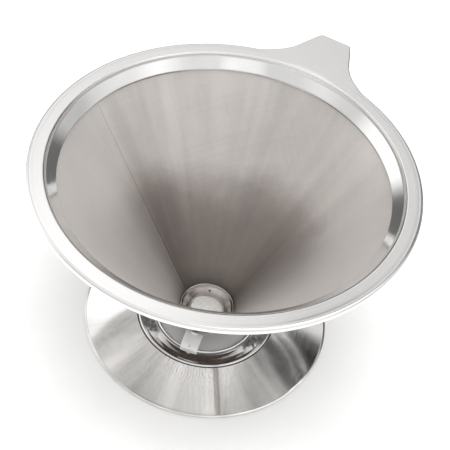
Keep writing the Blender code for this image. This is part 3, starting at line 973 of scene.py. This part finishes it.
def make_arm(name, azimuth):
    """A flat strip with a slight crown and soft edges, bent down where it meets the lip."""
    along_count = 24
    edge = ARM_EDGE
    flat = ARM_WIDTH / 2 - edge
    section = []
    for k in range(13):
        t = k / 12 * 2 - 1
        section.append((t * flat, ARM_CROWN * (1 - t * t)))
    turns = (0.5, 1.05, 1.57)
    right = [(flat + edge * math.sin(a), -edge + edge * math.cos(a)) for a in turns]
    low = edge - ARM_THICKNESS
    right += [(flat + edge * math.cos(a), low - edge * math.sin(a)) for a in (0.0, *turns)]
    section += right
    section += [(-s, h) for s, h in reversed(right)]
    place = Matrix.Rotation(math.radians(azimuth), 3, "Z")
    verts, rows = [], []
    for i in range(along_count + 1):
        t = i / along_count
        r = ARM_IN[0] + (ARM_OUT[0] - ARM_IN[0]) * t
        bend = max(0.0, (t - ARM_BEND_START) / (1 - ARM_BEND_START))
        z = ARM_IN[1] + (ARM_OUT[1] - ARM_IN[1]) * t - ARM_BEND_DROP * bend * bend
        row = []
        for side, height in section:
            row.append(len(verts))
            verts.append(tuple(place @ Vector((r, side, z + height))))
        rows.append(row)
    n = len(section)
    faces = [(rows[i][k], rows[i + 1][k], rows[i + 1][(k + 1) % n], rows[i][(k + 1) % n])
             for i in range(along_count) for k in range(n)]
    faces.append(tuple(rows[0]))
    faces.append(tuple(reversed(rows[-1])))
    obj = new_mesh(name + "_fine", verts, faces, ARM, sharp=45)
    bm = bmesh.new()
    bm.from_mesh(obj.data)
    bmesh.ops.recalc_face_normals(bm, faces=bm.faces)
    bm.to_mesh(obj.data)
    bm.free()
    obj.data.set_sharp_from_angle(angle=math.radians(45))
    bevel = obj.modifiers.new("Edge", "BEVEL")
    bevel.width = 0.15 * MM
    bevel.segments = 3
    bevel.limit_method = "ANGLE"
    bevel.angle_limit = math.radians(60)
    bevel.harden_normals = False
    return obj


def make_nugget(name, azimuth, r, z, size, seed):
    """A weld nugget: a flattened drop with a lumpy skin."""
    bm = bmesh.new()
    bmesh.ops.create_icosphere(bm, subdivisions=4, radius=1.0)
    for vert in bm.verts:
        lump = noise.noise(vert.co * 1.7 + Vector((seed, 0, 0))) * 0.16
        vert.co *= 1 + lump
    place = Matrix.Rotation(math.radians(azimuth), 4, "Z") @ Matrix.Translation((r * MM, 0, z * MM))
    place @= Matrix.Diagonal((size[0] * MM, size[1] * MM, size[2] * MM, 1.0))
    bmesh.ops.transform(bm, matrix=place, verts=bm.verts)
    mesh = bpy.data.meshes.new(name)
    bm.to_mesh(mesh)
    bm.free()
    mesh.materials.append(WELD)
    mesh.shade_smooth()
    obj = bpy.data.objects.new(name, mesh)
    bpy.context.scene.collection.objects.link(obj)
    return obj


def make_mesh_seam():
    """The cloth's lap: thin where it lies on the mesh, with its cut edge on the other side coloured dark as
    painted shadow.
    """
    lap = [(0.5, -0.03), (0.3, -0.06), (0.0, -0.09), (-0.2, -0.12), (-0.3, -0.14), (-0.35, -0.20),
           (-0.42, -0.20), (-0.5, -0.12), (-0.5, -0.02), (0.0, -0.02), (0.5, -0.015)]
    seam = strip_on_cone("mesh_seam_fine", SEAM_AZIMUTH, *MESH_SEAM_ENDS, lap, MESH)
    seam.data.materials.append(SEAM_EDGE_SHADOW)
    cloth_map(seam)
    for polygon in seam.data.polygons:
        x, y, _ = polygon.center
        side = math.degrees(math.atan2(y, x)) % 360 - SEAM_AZIMUTH
        if math.radians(side) * math.hypot(x, y) < CUT_EDGE * MM:
            polygon.material_index = 1
    return seam


def make_support_seam():
    """A bead of weld along the outer cone."""
    foot, height = SUPPORT_BEAD
    sides = [k / 4 - 1 for k in range(9)]
    bead = [(side, foot + height * (1 - side ** 2)) for side in sides]
    bead += [(side, foot - 0.02) for side in reversed(sides)]
    return strip_on_cone("support_seam_fine", SUPPORT_SEAM_AZIMUTH, *SUPPORT_SEAM_ENDS, bead, SUPPORT_WELD)


# ---------------------------------------------------------------- assembly


def assemble():
    """Makes each piece, and lets it ride in place of the CAD nodes that it stands for."""
    mesh_seam = make_mesh_seam()
    support_seam = make_support_seam()
    ride_all([
        (make_rim(), ["rim_plate"], "satin_steel"),
        (make_collar(), ["filter_collar"], "polished_steel"),
        (make_mesh_cone(), ["mesh_cone"], "woven_mesh"),
        (mesh_seam, ["mesh_seam"], "mesh_seam_weld"),
        (make_support(), ["support_cone"], "perforated_steel"),
        (support_seam, ["support_seam"], "support_seam_weld"),
        (make_clamp(), ["clamp_ring"], "clamp_steel"),
        (make_cup(), ["bottom_cup"], "cup_steel"),
        (make_disc(), ["cup_disc"], "disc_steel"),
        (make_ferrule(), ["tip_ferrule"], "ferrule_steel"),
        (make_neck(), ["neck_ring"], "neck_steel"),
        (make_lip(), ["neck_lip"], "lip_steel"),
        (make_brim(), ["base_brim"], "brushed_steel"),
    ])
    for seed, (name, azimuth) in enumerate(ARM_AZIMUTHS.items()):
        on_cup = (azimuth, ARM_IN[0] + 0.45, ARM_IN[1] + 0.25, CUP_WELD_SIZE, seed)
        on_lip = (azimuth, ARM_OUT[0] - 1.0, ARM_OUT[1] + 0.30, LIP_WELD_SIZE, seed + 5)
        ride_all([
            (make_arm(name, azimuth), [name], "arm_steel"),
            (make_nugget(name + "_cup_weld_fine", *on_cup), [name + "_cup_weld"], "weld_steel"),
            (make_nugget(name + "_lip_weld_fine", *on_lip), [name + "_lip_weld"], "weld_steel"),
        ])


# ---------------------------------------------------------------- stage, light and camera


def make_floor():
    t = Tree("pale_floor")
    place, _ = t.position()
    t.set("Base Color", t.ramp(t.noise(place, 30.0, 3.0), [(0.3, grey(0.74)), (0.7, grey(0.77))]))
    t.set("Roughness", 0.8)
    size = FLOOR_HALF
    corners = [(-size, -size, 0), (size, -size, 0), (size, size, 0), (-size, size, 0)]
    mesh = bpy.data.meshes.new("floor")
    mesh.from_pydata(corners, [], [(0, 1, 2, 3)])
    mesh.materials.append(t.material)
    floor = bpy.data.objects.new("floor", mesh)
    floor.location.z = -FLOOR_DROP
    bpy.context.scene.collection.objects.link(floor)
    return floor


def light_floor(floor):
    """A wide overhead lamp that only the floor receives, with the object's soft shadow in it."""
    lamp = bpy.data.lights.new("floor_lamp", "SUN")
    lamp.energy = FLOOR_LAMP
    lamp.angle = FLOOR_LAMP_ANGLE
    obj = bpy.data.objects.new("floor_lamp", lamp)
    bpy.context.scene.collection.objects.link(obj)
    lit = bpy.data.collections.new("lit_by_floor_lamp")
    lit.objects.link(floor)
    obj.light_linking.receiver_collection = lit


def world_math(nodes, links, operation, *values):
    node = nodes.new("ShaderNodeMath")
    node.operation = operation
    for socket, value in zip(node.inputs, values):
        if isinstance(value, (int, float)):
            socket.default_value = value
        else:
            links.new(value, socket)
    return node.outputs[0]


def soft_step(nodes, links, value, half, soft):
    """1 while the value's size is below the half-width, fading to 0 over the softness."""
    node = nodes.new("ShaderNodeMapRange")
    node.interpolation_type = "SMOOTHSTEP"
    node.inputs["From Min"].default_value = math.radians(half - soft)
    node.inputs["From Max"].default_value = math.radians(half + soft)
    node.inputs["To Min"].default_value = 1.0
    node.inputs["To Max"].default_value = 0.0
    links.new(world_math(nodes, links, "ABSOLUTE", value), node.inputs["Value"])
    return node.outputs[0]


def add_patches(nodes, links, place, total):
    """Adds the soft round patches to the room's level."""
    for azimuth, elevation, inner, outer, change in PATCHES:
        a, e = math.radians(azimuth) + TURN, math.radians(elevation)
        dot = nodes.new("ShaderNodeVectorMath")
        dot.operation = "DOT_PRODUCT"
        dot.inputs[1].default_value = (math.cos(e) * math.cos(a), math.cos(e) * math.sin(a), math.sin(e))
        links.new(place.outputs["Generated"], dot.inputs[0])
        soft = nodes.new("ShaderNodeMapRange")
        soft.interpolation_type = "SMOOTHSTEP"
        soft.inputs["From Min"].default_value = math.cos(math.radians(outer))
        soft.inputs["From Max"].default_value = math.cos(math.radians(inner))
        soft.inputs["To Min"].default_value = 0.0
        soft.inputs["To Max"].default_value = change
        links.new(dot.outputs["Value"], soft.inputs["Value"])
        total = world_math(nodes, links, "ADD", total, soft.outputs[0])
    return total


def add_panels(nodes, links, place, total):
    """Adds the soft rectangles to the room's level."""
    for azimuth, elevation, half_wide, half_high, soft, change in PANELS:
        turn = nodes.new("ShaderNodeVectorRotate")
        turn.rotation_type = "Z_AXIS"
        turn.inputs["Angle"].default_value = -math.radians(azimuth) - TURN
        links.new(place.outputs["Generated"], turn.inputs["Vector"])
        split = nodes.new("ShaderNodeSeparateXYZ")
        links.new(turn.outputs[0], split.inputs[0])
        across = world_math(nodes, links, "ARCTAN2", split.outputs[1], split.outputs[0])
        height = world_math(nodes, links, "ARCSINE", split.outputs[2])
        height = world_math(nodes, links, "SUBTRACT", height, math.radians(elevation))
        wide = soft_step(nodes, links, across, half_wide, soft)
        high = soft_step(nodes, links, height, half_high, soft)
        both = world_math(nodes, links, "MULTIPLY", wide, high)
        total = world_math(nodes, links, "MULTIPLY_ADD", both, change, total)
    return total


def make_world():
    """The room: levels of brightness by elevation, with the patches and rectangles added."""
    world = bpy.data.worlds.new("studio")
    bpy.context.scene.world = world
    world.use_nodes = True
    nodes, links = world.node_tree.nodes, world.node_tree.links
    place = nodes.new("ShaderNodeTexCoord")
    split = nodes.new("ShaderNodeSeparateXYZ")
    links.new(place.outputs["Generated"], split.inputs[0])
    ramp = nodes.new("ShaderNodeValToRGB")
    links.new(split.outputs[2], ramp.inputs[0])
    ramp.color_ramp.interpolation = "EASE"
    stops = ramp.color_ramp.elements
    while len(stops) < len(ROOM_LEVELS):
        stops.new(0.5)
    for stop, (elevation, level) in zip(stops, ROOM_LEVELS):
        stop.position = math.sin(math.radians(elevation))
        stop.color = (*grey(level / 2), 1.0)
    total = world_math(nodes, links, "MULTIPLY", ramp.outputs[0], 2.0)
    total = add_patches(nodes, links, place, total)
    total = add_panels(nodes, links, place, total)
    total = world_math(nodes, links, "MAXIMUM", total, DARKEST)
    background = nodes["Background"]
    background.inputs["Color"].default_value = (1.0, 0.995, 0.985, 1.0)
    links.new(total, background.inputs["Strength"])


def make_camera():
    """The photograph's camera: tilted down, rolled, and turned about the cone's axis to the row's frame."""
    forward = Vector((0, math.cos(CAMERA_TILT), -math.sin(CAMERA_TILT)))
    right = Vector((1, 0, 0))
    down = Vector((0, -math.sin(CAMERA_TILT), -math.cos(CAMERA_TILT)))
    c, s = math.cos(CAMERA_ROLL), math.sin(CAMERA_ROLL)
    x_axis = c * right + s * down
    y_axis = -(-s * right + c * down)
    about_axis = Matrix.Rotation(TURN, 4, "Z")
    place = Matrix((x_axis, y_axis, -forward)).transposed().to_4x4()
    place.translation = CAMERA_PLACE
    data = bpy.data.cameras.new("camera")
    data.sensor_width = SENSOR_WIDTH
    data.lens = FOCAL_PIXELS / PICTURE_PIXELS * SENSOR_WIDTH
    data.clip_start = 0.01
    camera = bpy.data.objects.new("camera", data)
    camera.matrix_world = about_axis @ place
    bpy.context.scene.collection.objects.link(camera)
    bpy.context.scene.camera = camera


def set_stage():
    floor = make_floor()
    make_world()
    make_camera()
    light_floor(floor)
    bpy.context.scene.view_settings.view_transform = "Standard"


assemble()
set_stage()
